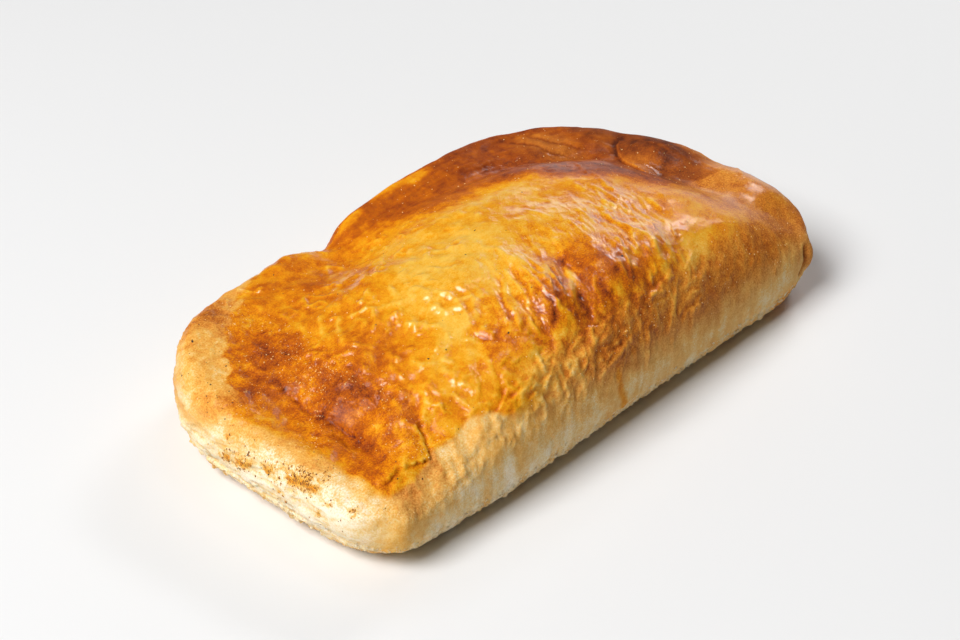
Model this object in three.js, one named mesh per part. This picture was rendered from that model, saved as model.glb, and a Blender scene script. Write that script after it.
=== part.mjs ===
// A bridie: one sheet of puff pastry folded over a savoury filling and sealed along three sides.
// The folded side is round and steep, the sealed sides are thick puffed borders, and the filling lifts a
// hump between them. The long border stands up as a rim behind a groove, and a pinch parts it from the
// lower near corner. Millimetres, +Z up. The origin is on the tray under the middle. +X runs from the near
// sealed end to the far one, and +Y from the fold to the long sealed side.

import * as THREE from "three";
import { ParametricGeometry } from "three/addons/geometries/ParametricGeometry.js";
import { mergeVertices } from "three/addons/utils/BufferGeometryUtils.js";

const { clamp, degToRad, lerp, smoothstep } = THREE.MathUtils;

// Driving dimensions
const LENGTH = 159;
const WIDTH = 86;
const HUMP_TOP = 37; // height of the filled hump before its wrinkles
const CORNER_RADIUS = { nearFold: 14.5, farFold: 18.5, farSeal: 50, nearSeal: 30 };

// Side wall: the widest line round the pastry, and how far the wall tucks under it to the tray
const WAIST = 12;
const TUCK = { near: 9.6, rest: 8, from: -60, to: -78 }; // deeper where X nears the near end
const CORNER_TUCK = { depth: 3.5, half: 16 }; // the near fold corner is lifted off the tray
const SEAM = { height: 7, depth: 1.3, half: 0.9, fade: 12 }; // the sheets' joint, fading out near the fold

// Round-over from the waist to the top
const FOLD_ROUND = 19;
const SEAL_ROUND = { near: 6.5, long: 5, far: 11 };

// Sealed borders: the heights of their tops above the tray, and the stretches of X where they pass over
// from the near border to the long rim and from there to the far border
const BORDER_TOP = { nearFold: 18, nearSeal: 24, rim: 27.5, far: 26 };
const RIM_BEGINS = { from: -21, to: 7 };
const FAR_BEGINS = { from: 38, to: 66 };
const LIP = { height: 1.3, half: 4, inset: 6, from: 8, to: 48 }; // the rim's turned-up edge, growing over X

// The hump: its peak, the distances from there to its foot on each sealed side, and how gently the foot ends
const HUMP = { x: 2, y: -10, near: 64, far: 57, back: 38, squareness: 2.5, softFoot: 0.16 };

// The groove round the foot: its half width is a share of the hump. It deepens over a stretch of Y, and from
// a share of its depth at the near end of the rim to all of it where the lip is full
const GROOVE = { depth: 3, half: 0.09, from: -26, to: 0, nearShare: 0.25 };

// The near end: the folded side draws in towards it over a stretch of X, and it bows out about a middle Y
const TAPER = { inward: 1.8, from: -30, to: -66 };
const BOW = { inward: 0.9, middle: 3, half: 27, from: -50, to: -78 };

// The pinch that parts the low near corner from the raised rim
const PINCH = { x: -19, half: 4.5, inward: 2.5, drop: 2.5, reach: 17 };

// Dents (negative) and bulges (positive): place, half length, half width, turn in degrees, height
const SWELLINGS = [
  { x: -63, y: 2, along: 17, across: 8, turn: 80, height: -2.2 }, // hollow in the near border
  { x: -57, y: -28, along: 12, across: 6, turn: 49, height: 1.8 }, // lifted plate by the near fold corner
  { x: -62, y: -17, along: 9, across: 2.6, turn: 82, height: -1.9 }, // crease beside that plate
  { x: -52, y: -28, along: 8, across: 2.2, turn: 58, height: -1.5 }, // crack across it
  { x: -63, y: -34, along: 8, across: 2.4, turn: -5, height: 1.3 }, // its torn and curled edge
  { x: -17, y: -27, along: 12, across: 3, turn: 72, height: -1.5 }, // creases down the front of the hump
  { x: -9.5, y: -22, along: 13, across: 3.2, turn: 74, height: 1.3 },
  { x: -2, y: -26, along: 12, across: 3, turn: 69, height: -2 },
  { x: 7, y: -29, along: 9, across: 3.2, turn: 70, height: 1.3 },
  { x: 16, y: -32, along: 9, across: 3, turn: 66, height: -1.2 },
  { x: 31, y: -26, along: 14, across: 4, turn: 70, height: -1.1 },
  { x: 42, y: 37, along: 9, across: 8, turn: -35, height: -1.7 }, // low stretch of the rim, between bulges
  { x: 7, y: 39, along: 11, across: 6, turn: 0, height: 1.2 },
  { x: 61, y: 22, along: 7, across: 7, turn: -50, height: 1.3 },
  { x: 71, y: -36, along: 9, across: 7, turn: -45, height: -4.5 }, // rounded far fold corner
  { x: -48, y: 39, along: 9, across: 6, turn: 20, height: -1 }, // low near seal corner
  { x: -31, y: 40, along: 6, across: 6, turn: 0, height: 1 }, // swelling beside the pinch
  { x: 65, y: 4, along: 7, across: 6, turn: 70, height: 1.8 }, // knob on the rim at the far corner
  { x: 61, y: 14, along: 6, across: 2.6, turn: 40, height: -2 }, // crevice beside the knob
  { x: 69, y: -8, along: 9, across: 4, turn: 10, height: -1.8 }, // saddle before the far end's lobe
];

// Unevenness of hand-folded dough: waves over the top, with height, length, turn in degrees and phase
const WAVES = [
  { height: 0.35, length: 27, turn: 25, phase: 0.4 },
  { height: 0.3, length: 19, turn: 118, phase: 1.1 },
  { height: 0.22, length: 13, turn: 70, phase: 2.3 },
];

// Mesh density
const AROUND = 160;
const WALL_RINGS = [0, 0.08, 0.25, 0.42, 0.5, 0.58, 0.66, 0.8, 1]; // shares of the waist's height
const TOP_RINGS = 27;
const RING_CROWDING = 1.5; // above 1 crowds the top's rings towards the edge
const MERGE_DISTANCE = 1e-4;

const MIN_X = -LENGTH / 2;
const MAX_X = LENGTH / 2;
const MIN_Y = -WIDTH / 2;
const MAX_Y = WIDTH / 2;
const SPINE = { y: -8, half: LENGTH / 2 - 38 }; // the line that the top's rings shrink to
const RINGS = WALL_RINGS.length + TOP_RINGS;

const bell = (distance, half) => Math.exp(-((distance / half) ** 2));
const softPositive = (value, soft) => (value + Math.hypot(value, soft)) / 2;
const quarterRound = (share) => Math.sqrt(1 - (1 - clamp(share, 0, 1)) ** 2);

// One side of the outline at the waist, from the middle of the near end to the middle of the far end
function outlinePath(edgeY, nearRadius, farRadius) {
  const side = Math.sign(edgeY);
  const cornerY = (radius) => edgeY - side * radius;
  const sideways = (side * Math.PI) / 2;
  const clockwise = side > 0;
  const path = new THREE.Path();
  path.moveTo(MIN_X, SPINE.y);
  path.lineTo(MIN_X, cornerY(nearRadius));
  path.absarc(MIN_X + nearRadius, cornerY(nearRadius), nearRadius, Math.PI, sideways, clockwise);
  path.lineTo(MAX_X - farRadius, edgeY);
  path.absarc(MAX_X - farRadius, cornerY(farRadius), farRadius, sideways, 0, clockwise);
  path.lineTo(MAX_X, SPINE.y);
  return path;
}
const FOLD_PATH = outlinePath(MIN_Y, CORNER_RADIUS.nearFold, CORNER_RADIUS.farFold);
const SEAL_PATH = outlinePath(MAX_Y, CORNER_RADIUS.nearSeal, CORNER_RADIUS.farSeal);

// A point of the outline and the point of the spine that it shrinks to, for a share u of the way round
function outlineAt(u) {
  const onFold = u <= 0.5;
  const share = clamp(onFold ? 2 * u : 2 - 2 * u, 0, 1);
  const edge = (onFold ? FOLD_PATH : SEAL_PATH).getPointAt(share);
  const spine = new THREE.Vector2(lerp(-SPINE.half, SPINE.half, share), SPINE.y);
  return { edge, spine };
}

// Distance inwards from the three sealed sides, with their two rounded corners
function insetFromSeal(x, y) {
  const radius = x < 0 ? CORNER_RADIUS.nearSeal : CORNER_RADIUS.farSeal;
  const toEnd = LENGTH / 2 - Math.abs(x);
  const toSide = MAX_Y - y;
  if (toEnd < radius && toSide < radius) return radius - Math.hypot(radius - toEnd, radius - toSide);
  return Math.min(toEnd, toSide);
}

// How far a point belongs to the long rim rather than the near border, to its lip and to the far border
const rimShare = (x) => smoothstep(x, RIM_BEGINS.from, RIM_BEGINS.to);
const lipShare = (x) => smoothstep(x, LIP.from, LIP.to);
const farShare = (x) => smoothstep(x, FAR_BEGINS.from, FAR_BEGINS.to);

function borderTop(x, y) {
  const near = lerp(BORDER_TOP.nearFold, BORDER_TOP.nearSeal, smoothstep(y, MIN_Y, MAX_Y));
  return lerp(lerp(near, BORDER_TOP.rim, rimShare(x)), BORDER_TOP.far, farShare(x));
}

// 0 at the hump's peak and 1 along its foot. Towards the fold the hump runs straight on
function humpReach(x, y) {
  const along = Math.abs(x - HUMP.x) / (x < HUMP.x ? HUMP.near : HUMP.far);
  const across = Math.max(y - HUMP.y, 0) / HUMP.back;
  return (along ** HUMP.squareness + across ** HUMP.squareness) ** (1 / HUMP.squareness);
}

function swellingHeight({ x, y, along, across, turn, height }, px, py) {
  const offset = new THREE.Vector2(px - x, py - y).rotateAround(new THREE.Vector2(), -degToRad(turn));
  return height * bell(offset.x, along) * bell(offset.y, across);
}

function waveHeight({ height, length, turn, phase }, x, y) {
  const along = x * Math.cos(degToRad(turn)) + y * Math.sin(degToRad(turn));
  return height * Math.sin((2 * Math.PI * along) / length + phase);
}

function pinchShare(x, y) {
  return bell(x - PINCH.x, PINCH.half) * smoothstep(PINCH.reach - insetFromSeal(x, y), 0, PINCH.reach);
}

// How far a point of the plan is shifted by the taper, the bow and the pinch
function drift(x, y) {
  const taper = smoothstep(-x, -TAPER.from, -TAPER.to) * smoothstep(-y, 0, -MIN_Y);
  const bow = smoothstep(-x, -BOW.from, -BOW.to) * Math.min(((y - BOW.middle) / BOW.half) ** 2, 1.5);
  return new THREE.Vector2(BOW.inward * bow, TAPER.inward * taper - PINCH.inward * pinchShare(x, y));
}

// Height of the top surface over a point of the plan
function topHeight(x, y) {
  const fromSeal = insetFromSeal(x, y);
  const reach = humpReach(x, y);
  const rim = rimShare(x);
  const far = farShare(x);
  const grooved = rim * smoothstep(y, GROOVE.from, GROOVE.to) * lerp(GROOVE.nearShare, 1, lipShare(x));

  let height = lerp(borderTop(x, y), HUMP_TOP, softPositive(1 - reach ** 2, HUMP.softFoot));
  height -= GROOVE.depth * grooved * bell(reach - 1, GROOVE.half);
  height += LIP.height * lipShare(x) * (1 - far) * bell(fromSeal - LIP.inset, LIP.half);
  height -= PINCH.drop * pinchShare(x, y);
  for (const swelling of SWELLINGS) height += swellingHeight(swelling, x, y);
  for (const wave of WAVES) height += waveHeight(wave, x, y);

  const nearRound = lerp(SEAL_ROUND.near, SEAL_ROUND.long, smoothstep(y, 0, MAX_Y));
  const sealRound = lerp(lerp(nearRound, SEAL_ROUND.long, rim), SEAL_ROUND.far, far);
  const shoulder = quarterRound(fromSeal / sealRound) * quarterRound((y - MIN_Y) / FOLD_ROUND);
  return lerp(WAIST, height, shoulder);
}

// How far the side wall stands in from the outline, at a share of the waist's height
function wallTuck(edge, share) {
  const fromCorner = Math.hypot(edge.x - MIN_X, edge.y - MIN_Y);
  const nearEnd = smoothstep(-edge.x, -TUCK.from, -TUCK.to);
  const depth = lerp(TUCK.rest, TUCK.near, nearEnd) + CORNER_TUCK.depth * bell(fromCorner, CORNER_TUCK.half);
  const sealed = smoothstep(edge.y, MIN_Y, MIN_Y + SEAM.fade);
  const seam = SEAM.depth * sealed * bell(WAIST * share - SEAM.height, SEAM.half);
  return depth * (1 - quarterRound(share)) + seam;
}

// A point of the crust: u runs round the outline, v from the middle of the base up the wall and over the top
function crustPoint(u, v, target) {
  const ring = Math.round(v * RINGS);
  if (ring === 0) return target.set(0, SPINE.y, 0);

  const { edge, spine } = outlineAt(u);
  const inwards = spine.clone().sub(edge);
  if (ring <= WALL_RINGS.length) {
    const share = WALL_RINGS[ring - 1];
    const foot = edge.clone().addScaledVector(inwards.normalize(), wallTuck(edge, share));
    foot.add(drift(edge.x, edge.y));
    return target.set(foot.x, foot.y, WAIST * share);
  }
  const shrink = ((ring - WALL_RINGS.length) / TOP_RINGS) ** RING_CROWDING;
  const { x, y } = edge.clone().addScaledVector(inwards, shrink);
  const shift = drift(x, y);
  return target.set(x + shift.x, y + shift.y, topHeight(x, y));
}

// One closed surface: equal points are merged, and the triangles that shrank to nothing are dropped
function closedSurface(geometry) {
  geometry.deleteAttribute("normal");
  geometry.deleteAttribute("uv");
  const merged = mergeVertices(geometry, MERGE_DISTANCE);
  const { array } = merged.index;
  const kept = [];
  for (let i = 0; i < array.length; i += 3) {
    const [a, b, c] = array.slice(i, i + 3);
    if (a !== b && b !== c && c !== a) kept.push(a, b, c);
  }
  merged.setIndex(kept);
  merged.computeVertexNormals();
  return merged;
}

const crust = new THREE.MeshStandardMaterial({ color: 0xd99a3c, roughness: 0.42, metalness: 0 });

const pastry = new THREE.Mesh(closedSurface(new ParametricGeometry(crustPoint, AROUND, RINGS)), crust);
pastry.name = "pastry";

const bridie = new THREE.Group();
bridie.add(pastry);

export default bridie;
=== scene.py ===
# %% [markdown]
# # A baked bridie
#
# A bridie is one sheet of puff pastry folded over a savoury filling. The folded side is round and pale,
# the three sealed sides are thick puffed borders, and the egg wash brushed over the top bakes to a glossy
# golden brown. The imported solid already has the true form, so this lesson loads it, refines a copy of it,
# works the wrinkles, cracks and layers into that copy, and then bakes it with one layered material.

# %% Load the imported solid
import math

import bpy
import numpy as np
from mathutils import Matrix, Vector, noise


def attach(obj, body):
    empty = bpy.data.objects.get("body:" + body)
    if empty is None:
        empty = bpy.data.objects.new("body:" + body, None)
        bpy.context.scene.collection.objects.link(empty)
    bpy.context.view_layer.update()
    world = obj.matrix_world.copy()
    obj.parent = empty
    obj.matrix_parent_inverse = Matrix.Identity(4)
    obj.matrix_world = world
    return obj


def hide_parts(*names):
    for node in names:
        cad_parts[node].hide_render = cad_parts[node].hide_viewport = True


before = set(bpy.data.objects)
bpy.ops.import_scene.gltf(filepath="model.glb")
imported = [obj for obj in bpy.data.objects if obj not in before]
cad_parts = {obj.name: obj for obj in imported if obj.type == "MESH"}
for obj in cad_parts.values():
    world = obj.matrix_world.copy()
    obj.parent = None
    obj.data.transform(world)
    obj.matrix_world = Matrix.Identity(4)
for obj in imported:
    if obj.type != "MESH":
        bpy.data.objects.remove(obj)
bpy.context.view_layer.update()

MM = 0.001
SEED = 20
rng = np.random.default_rng(SEED)
print("packed nodes:", sorted(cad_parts))

# %% [markdown]
# ## The camera
#
# The picture was taken from a step away with a long lens, looking down on the near sealed end. A long lens
# keeps the two long sides almost parallel. The camera comes first, because everything after it is judged
# through it.

# %% Place the camera
CAMERA_AT = Vector((-303.67, -284.05, 317.99)) * MM
CAMERA_AIM = Vector((0.58234, 0.55262, -0.59622))
FIELD_OF_VIEW = math.radians(25)
NEAREST = 0.01

bpy.ops.object.select_all(action="DESELECT")
bpy.ops.object.camera_add(location=CAMERA_AT, rotation=CAMERA_AIM.to_track_quat("-Z", "Y").to_euler())
camera = bpy.context.active_object
camera.data.sensor_fit = "HORIZONTAL"
camera.data.angle = FIELD_OF_VIEW
camera.data.clip_start = NEAREST
bpy.context.scene.camera = camera
print("lens in millimetres:", round(camera.data.lens, 1))

# %% [markdown]
# ## A finer copy of the dough
#
# Wrinkled crust needs points about half a millimetre apart. Subdividing alone would leave long thin faces
# near the rim, so the copy is first rounded by one level of subdivision and then remeshed on an even grid.
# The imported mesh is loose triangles, so its doubles are merged before that.

# %% Copy, round and remesh
GRID = 0.46 * MM
SAME_POINT = 0.005 * MM


def use_only(piece):
    """Make a piece the only selected object, and the active one."""
    bpy.ops.object.select_all(action="DESELECT")
    piece.select_set(True)
    bpy.context.view_layer.objects.active = piece


def apply_modifier(piece, kind, **settings):
    """Add a modifier with its settings, and apply it."""
    modifier = piece.modifiers.new(kind.lower(), kind)
    for name, value in settings.items():
        setattr(modifier, name, value)
    use_only(piece)
    bpy.ops.object.modifier_apply(modifier=modifier.name)


crust = bpy.data.objects.new("crust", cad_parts["pastry"].data.copy())
bpy.context.scene.collection.objects.link(crust)
crust.data.materials.clear()
use_only(crust)
bpy.ops.object.mode_set(mode="EDIT")
bpy.ops.mesh.select_all(action="SELECT")
bpy.ops.mesh.remove_doubles(threshold=SAME_POINT)
bpy.ops.mesh.tris_convert_to_quads(face_threshold=math.pi, shape_threshold=math.pi)
bpy.ops.object.mode_set(mode="OBJECT")
apply_modifier(crust, "SUBSURF", levels=1, render_levels=1)
apply_modifier(crust, "REMESH", mode="VOXEL", voxel_size=GRID)
apply_modifier(crust, "SMOOTH", factor=0.5, iterations=5)
print("crust points:", len(crust.data.vertices))

# %% [markdown]
# ## The plump far end
#
# The far end is the plumpest, and its edges are rounder than the rest. A vertex group says how strongly each
# point is smoothed: more and more towards the tip, and not at all where the dough sits on the tray.

# %% Smooth the far end
FAR_START = 40
FAR_SPAN = 14
LOW_START = 5
LOW_SPAN = 4

far_end = crust.vertex_groups.new(name="far_end")
for vertex in crust.data.vertices:
    along = (vertex.co.x / MM - FAR_START) / FAR_SPAN
    high = (vertex.co.z / MM - LOW_START) / LOW_SPAN
    if along > 0 and high > 0:
        far_end.add([vertex.index], min(along, 1) * min(high, 1), "REPLACE")
apply_modifier(crust, "SMOOTH", factor=0.5, iterations=110, vertex_group="far_end")
crust.vertex_groups.clear()
print("far end smoothed beyond", FAR_START, "mm")

# %% [markdown]
# ## One face underneath
#
# The base lies flat on the tray and is never seen, so its many small faces are dissolved into one.

# %% Dissolve the base
FLAT_DOWN = -0.99
BASE_HEIGHT = 0.3

bpy.ops.object.mode_set(mode="EDIT")
bpy.ops.mesh.select_mode(type="FACE")
bpy.ops.mesh.select_all(action="DESELECT")
bpy.ops.object.mode_set(mode="OBJECT")
for face in crust.data.polygons:
    face.select = face.normal.z < FLAT_DOWN and face.center.z < BASE_HEIGHT * MM
bpy.ops.object.mode_set(mode="EDIT")
bpy.ops.mesh.dissolve_faces(use_verts=True)
bpy.ops.object.mode_set(mode="OBJECT")
bpy.ops.object.shade_smooth()
print("crust faces:", len(crust.data.polygons))

# %% [markdown]
# ## Where things are on the dough
#
# Every wrinkle and every brown patch belongs somewhere, so a few measures are worked out once for all
# points: how far in from the sealed edge a point lies, how far down the fold, and which way it faces.
# They are in millimetres, and so are the places in every ramp and fall from here on.

# %% Read the points, and helpers for soft edges


def read_points(piece):
    """The points of a piece, in millimetres."""
    flat = np.empty(3 * len(piece.data.vertices), np.float32)
    piece.data.vertices.foreach_get("co", flat)
    return flat.reshape(-1, 3).astype(float) / MM


def read_normals(piece):
    flat = np.empty(3 * len(piece.data.vertices), np.float32)
    piece.data.vertex_normals.foreach_get("vector", flat)
    return flat.reshape(-1, 3).astype(float)


def write_points(piece, points):
    piece.data.vertices.foreach_set("co", (points * MM).astype(np.float32).ravel())
    piece.data.update()


def ramp(value, start, end):
    """0 before start, 1 after end, and a smooth step between them."""
    share = np.clip((value - start) / (end - start), 0, 1)
    return share * share * (3 - 2 * share)


def fall(value, start, end):
    """1 before start, 0 after end, and a smooth step between them."""
    return ramp(-value, -end, -start)


def bell(value, width):
    """1 at zero, and fading out on both sides over about the width."""
    return np.exp(-(value / width) ** 2)


def mix(under, over, share):
    """One value laid over another, as strongly as the share says."""
    return under + (over - under) * np.clip(share, 0, 1)


dough = read_points(crust)
facing = read_normals(crust)
x, y, z = dough.T
out_x, out_y, up = facing.T
print("points:", len(dough))

# %% Measure the dough
HALF_LENGTH = 79.5
SEALED_SIDE = 43
NEAR_CORNER = 30
FAR_CORNER = 50
TOP_LINE = 37
LEAN_OF_CREASES = 0.364

corner = np.where(x < 0, NEAR_CORNER, FAR_CORNER)
to_end = HALF_LENGTH - np.abs(x)
to_side = SEALED_SIDE - y
in_corner = (to_end < corner) & (to_side < corner)
from_round = corner - np.hypot(corner - to_end, corner - to_side)
from_seal = np.where(in_corner, from_round, np.minimum(to_end, to_side))
down_fold = (TOP_LINE - z) - y
slant = x - LEAN_OF_CREASES * y
off_tray = ramp(z, 0.4, 2.5)

top = ramp(up, 0.15, 0.55)
near_face = fall(out_x, -0.85, -0.5) * fall(x, -70, -60)
fold_side = fall(out_y, -0.8, -0.35) * fall(y, -30, -20)
sealed_wall = fall(up, 0.25, 0.6) * fall(from_seal, 4, 9) * ramp(y, -30, -20)
rim = fall(from_seal, 12, 18) * ramp(x, -24, -12) * ramp(y, -22, -2) * top
front = fall(y, -14, 2) * ramp(x, -40, -16) * ramp(up, -0.15, 0.2)
creasing = front * (1 - 0.85 * ramp(x, 16, 36))
print("longest way down the fold:", round(down_fold.max(), 1), "mm")

# %% [markdown]
# ## Noise that follows the dough
#
# Three kinds of pattern make up a baked skin: round lumps, creases that run down the fold, and single lines
# that are given point by point. Each gets one helper.

# %% Lumps, folds and lines
SEED_STEP = 31.7


def lumps(size, seed, along=None):
    """Noise between about -1 and 1. Its lumps are `size` mm wide, and follow `along` if that is given."""
    place = dough if along is None else along
    return np.array([noise.noise(point) for point in (place / size + SEED_STEP * seed).tolist()])


def folds(width, length, seed):
    """Creases that run down the front and the folded side, `width` mm apart and about `length` mm long."""
    bend = 0.45 * width * wander + 0.8 * width * patches + 0.25 * width * blisters
    along = np.column_stack([(slant + bend) / width, down_fold / length, np.full_like(x, seed)])
    return lumps(1, seed, along)


def distance_to_line(line, across, onward):
    """Distance of each point from a line of corners, its side (left is positive) and share of the way."""
    best = np.full(len(across), np.inf)
    side = np.zeros(len(across))
    way = np.zeros(len(across))
    lengths = [math.dist(a, b) for a, b in zip(line, line[1:])]
    done = 0
    for (ax, ay), (bx, by), length in zip(line, line[1:], lengths):
        run_x = (bx - ax) / length
        run_y = (by - ay) / length
        share = np.clip((across - ax) * run_x + (onward - ay) * run_y, 0, length)
        off_x = across - ax - share * run_x
        off_y = onward - ay - share * run_y
        distance = np.hypot(off_x, off_y)
        nearer = distance < best
        best[nearer] = distance[nearer]
        side[nearer] = np.sign(run_x * off_y - run_y * off_x)[nearer]
        way[nearer] = ((done + share) / sum(lengths))[nearer]
        done += length
    return best, side, way


wander = 2 * lumps(16, seed=6)
soft_lumps = lumps(13, seed=1)
patches = lumps(8, seed=2)
blisters = lumps(4, seed=3)
pimples = lumps(1.9, seed=4)
grain = lumps(1.0, seed=5)
shake = np.column_stack([patches, blisters, pimples])
print("coarsest lumps from", round(wander.min(), 2), "to", round(wander.max(), 2))

# %% [markdown]
# ## Creases down the front and streaks on the fold
#
# The skin of egg wash dries before the dough under it stops rising, so it crumples. On the front of the
# hump it hangs in creases that run down to the fold. A bump map would vanish at the outline, so this is
# real relief of up to a millimetre: it is summed up here, and moves the points once it is complete.

# %% Crease the front
MEAN_FOLD = 0.25

calm = ramp(lumps(15, seed=7), -0.25, 0.35)
wide_folds = np.abs(folds(6.5, 17, seed=11))
middle_folds = np.abs(folds(2.9, 9, seed=12))
fine_folds = np.abs(folds(1.4, 6, seed=14))
crinkle = 1 - 4 * np.abs(lumps(3.2, 8, dough + 1.4 * shake))
creased = 0.45 * (wide_folds - MEAN_FOLD) + 0.28 * (middle_folds - MEAN_FOLD)
creased += 0.14 * (fine_folds - MEAN_FOLD)
relief = 0.35 * soft_lumps * top
relief += creasing * ((0.2 + 0.8 * calm) * creased + 0.06 * crinkle) + front * 0.06 * pimples

stretch = np.abs(folds(3.4, 30, seed=13))
streaked = 0.22 * (stretch - MEAN_FOLD) + 0.14 * (fine_folds - MEAN_FOLD) + 0.2 * patches + 0.22 * blisters
relief += fold_side * streaked
relief += fold_side * (0.12 * pimples + 0.07 * grain)
relief += fall(z, 5, 10) * (0.3 * pimples + 0.4 * grain)
print("crease relief in millimetres:", round(relief.min(), 2), "to", round(relief.max(), 2))

# %% [markdown]
# ## Pinched skin
#
# Between the creases the dried wash is pinched into hundreds of short folds. Some are thin ridges, and the
# others lie over their neighbour like a low step. Their places are drawn by lot, most of them where the skin
# is loose.

# %% Helpers for one short fold


def turned(along, across, degrees):
    """The same offsets, measured along and across a line that is turned by some degrees."""
    angle = math.radians(degrees)
    forward = along * math.cos(angle) + across * math.sin(angle)
    sideways = across * math.cos(angle) - along * math.sin(angle)
    return forward, sideways


def past_ends(forward, length):
    """How far a point lies beyond the ends of a stroke of some length."""
    return forward - np.clip(forward, -length / 2, length / 2)


def pinch(spot, tilt, length, height, is_ridge):
    """The relief of one short fold through a point, turned from the lie of the fold by `tilt` degrees."""
    across = slant - slant[spot] + 0.5 * blisters
    forward, sideways = turned(down_fold - down_fold[spot], across, tilt)
    fade = height * bell(past_ends(forward, length), 1.2)
    if is_ridge:
        return fade * bell(sideways, 0.5)
    return fade * ramp(sideways, -0.3, 0.3) * np.exp(-np.maximum(sideways, 0) / 2.2)


def pick(chance, count):
    """Points of the crust drawn by lot, each as likely as its chance says."""
    return rng.choice(len(chance), count, p=chance / chance.sum())


print("a ridge over one point reaches", int((pinch(0, 0, 8, 1, True) > 0.5).sum()), "points")

# %% Pinch the front
PINCHES = 110
STREAKS = 170
TORN_FLAKES = 90

pinch_chance = creasing ** 2 * (0.08 + ramp(lumps(11, seed=15), -0.1, 0.4))
for spot in pick(pinch_chance, PINCHES):
    tilt, length, height = rng.normal(0, 14), rng.uniform(3, 14), rng.uniform(0.1, 0.34)
    relief += front * pinch(spot, tilt, length, height, rng.random() < 0.5)

# The tightest crumples lie in a band across the upper front, where the light catches them as crisp streaks.
across_band = (x - 24) * 0.5 + (y + 18) * 0.87
along_band = (x - 24) * 0.87 - (y + 18) * 0.5
streak_band = np.exp(-(across_band / 12) ** 2 - (along_band / 8) ** 2) * top
for spot in pick(streak_band, STREAKS):
    tilt, length, height = rng.normal(8, 16), rng.uniform(1, 5), rng.uniform(0.08, 0.26)
    relief += top * pinch(spot, tilt, length, height, True)

# Where the wash thins out, low on the fold, the skin is torn into small flakes that lie across the folds.
torn_zone = ramp(down_fold, 40, 45) * fall(down_fold, 54, 62) * ramp(x, -42, -36) * fall(x, 20, 36)
for spot in pick(torn_zone * fall(y, -25, -15), TORN_FLAKES):
    tilt, length, height = rng.normal(-60, 28), rng.uniform(1.5, 6), rng.uniform(0.15, 0.4)
    relief += pinch(spot, tilt, length, height, False)
print("front relief in millimetres:", round(relief.min(), 2), "to", round(relief.max(), 2))

# %% [markdown]
# ## The skin of the hump
#
# On the hump the skin is drawn tight, with low blisters and bright raised strokes where the wash ran
# together and dried. The plainest strokes are listed, and a hundred more are drawn by lot.

# %% Blister and stroke the hump
MORE_STROKES = 100

skin = top * (1 - rim) * (1 - 0.6 * front)
patch_zone = fall(x, -54, -44) * top
relief += skin * (0.2 * blisters + 0.05 * pimples + 0.05 * crinkle)
near_half = skin * fall(x, -12, 4) * (1 - 0.75 * fall(x, -58, -50)) * ramp(x, -70, -60)
crests = np.clip(1 - 5 * np.abs(lumps(4.6, 9, dough + 1.8 * shake)), 0, 1)
crests *= ramp(lumps(5.5, seed=10), -0.05, 0.3)
relief += near_half * (0.5 * crests + 0.25 * blisters)
relief += patch_zone * (0.12 * pimples + 0.1 * grain + 0.08 * crinkle)

# Middle, turn in degrees and length of each stroke.
STROKES = [
    (-47.4, 14.3, 70, 5), (-45.4, 4.1, 55, 5), (-46.6, -1.0, 30, 4), (-34.7, -9.6, 115, 4),
    (-41.2, -20.0, 160, 7), (-54.0, -27.1, 100, 4), (-24.2, -13.0, 150, 4), (-23.8, -1.3, 95, 4),
]
stroke_chance = skin * ramp(x, -56, -48) * fall(x, -15, 5) * fall(y, 8, 16)
for spot in pick(stroke_chance, MORE_STROKES):
    STROKES.append((x[spot], y[spot], rng.normal(70, 50), rng.uniform(1.2, 4.5)))
# The strokes are gathered into one mask, which later paints them lighter as a painted highlight.
stroke_highlight = np.zeros_like(x)
for px, py, turn, length in STROKES:
    forward, sideways = turned(x - px, y - py, turn)
    sideways += 0.05 * forward ** 2 / length
    distance = np.hypot(past_ends(forward, length), sideways + 0.35 * blisters)
    stroke = top * bell(distance, rng.uniform(0.45, 0.9)) * (0.7 + 0.5 * pimples)
    relief += rng.uniform(0.2, 0.5) * stroke
    stroke_highlight = np.maximum(stroke_highlight, stroke)
print("strokes:", len(STROKES))

# %% [markdown]
# ## The rim and the sealed wall
#
# The raised rim was crimped by hand, so low folds run round it. Below it the cut edge shows the layers of
# the puff pastry, which swell and split as the butter between them boils. Both are noise that is stretched
# along the edge: round the rim for the folds, and level with the tray for the layers.

# %% Fold the rim and split the layers
RIM_MIDDLE = (30, -7)
RIM_RADIUS = 46
RIM_FOLD_LENGTH = 18

round_way = np.arctan2(y - RIM_MIDDLE[1], x - RIM_MIDDLE[0]) * RIM_RADIUS / RIM_FOLD_LENGTH
round_rim = np.column_stack([from_seal / 3.4 + 0.4 * patches, round_way, np.zeros_like(x)])
rim_folds = lumps(1, 31, round_rim)
rim_lines = np.abs(lumps(1, 32, round_rim * [2.6, 1.6, 1]))
crimped = 0.45 * rim_folds + 0.3 * (rim_lines - MEAN_FOLD) + 0.12 * blisters + 0.05 * pimples
relief += rim * ramp(from_seal, 0, 5) * crimped

sheet = z + 0.16 * y + 0.9 * patches + 0.35 * blisters
layers = lumps(1, 41, np.column_stack([y / 9, x / 9, sheet / 1.3]))
bulges = lumps(1, 42, np.column_stack([y / 7, x / 7, sheet / 3.5]))
cracks = fall(np.abs(layers + 0.15 * pimples), 0.02, 0.16)
relief += sealed_wall * (0.28 * layers + 0.5 * bulges + 0.3 * pimples + 0.2 * grain - 0.35 * cracks)
print("relief with rim and layers:", round(relief.min(), 2), "to", round(relief.max(), 2))

# %% [markdown]
# ## The two fold corners
#
# At the near corner the sheet was folded to an edge, which leans from the fold at the top towards the sealed
# end at the tray. At the far corner the end of the sheet was tucked under, and stands out a little. Both are
# one soft swelling each, laid along the edge or round a point.

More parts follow.
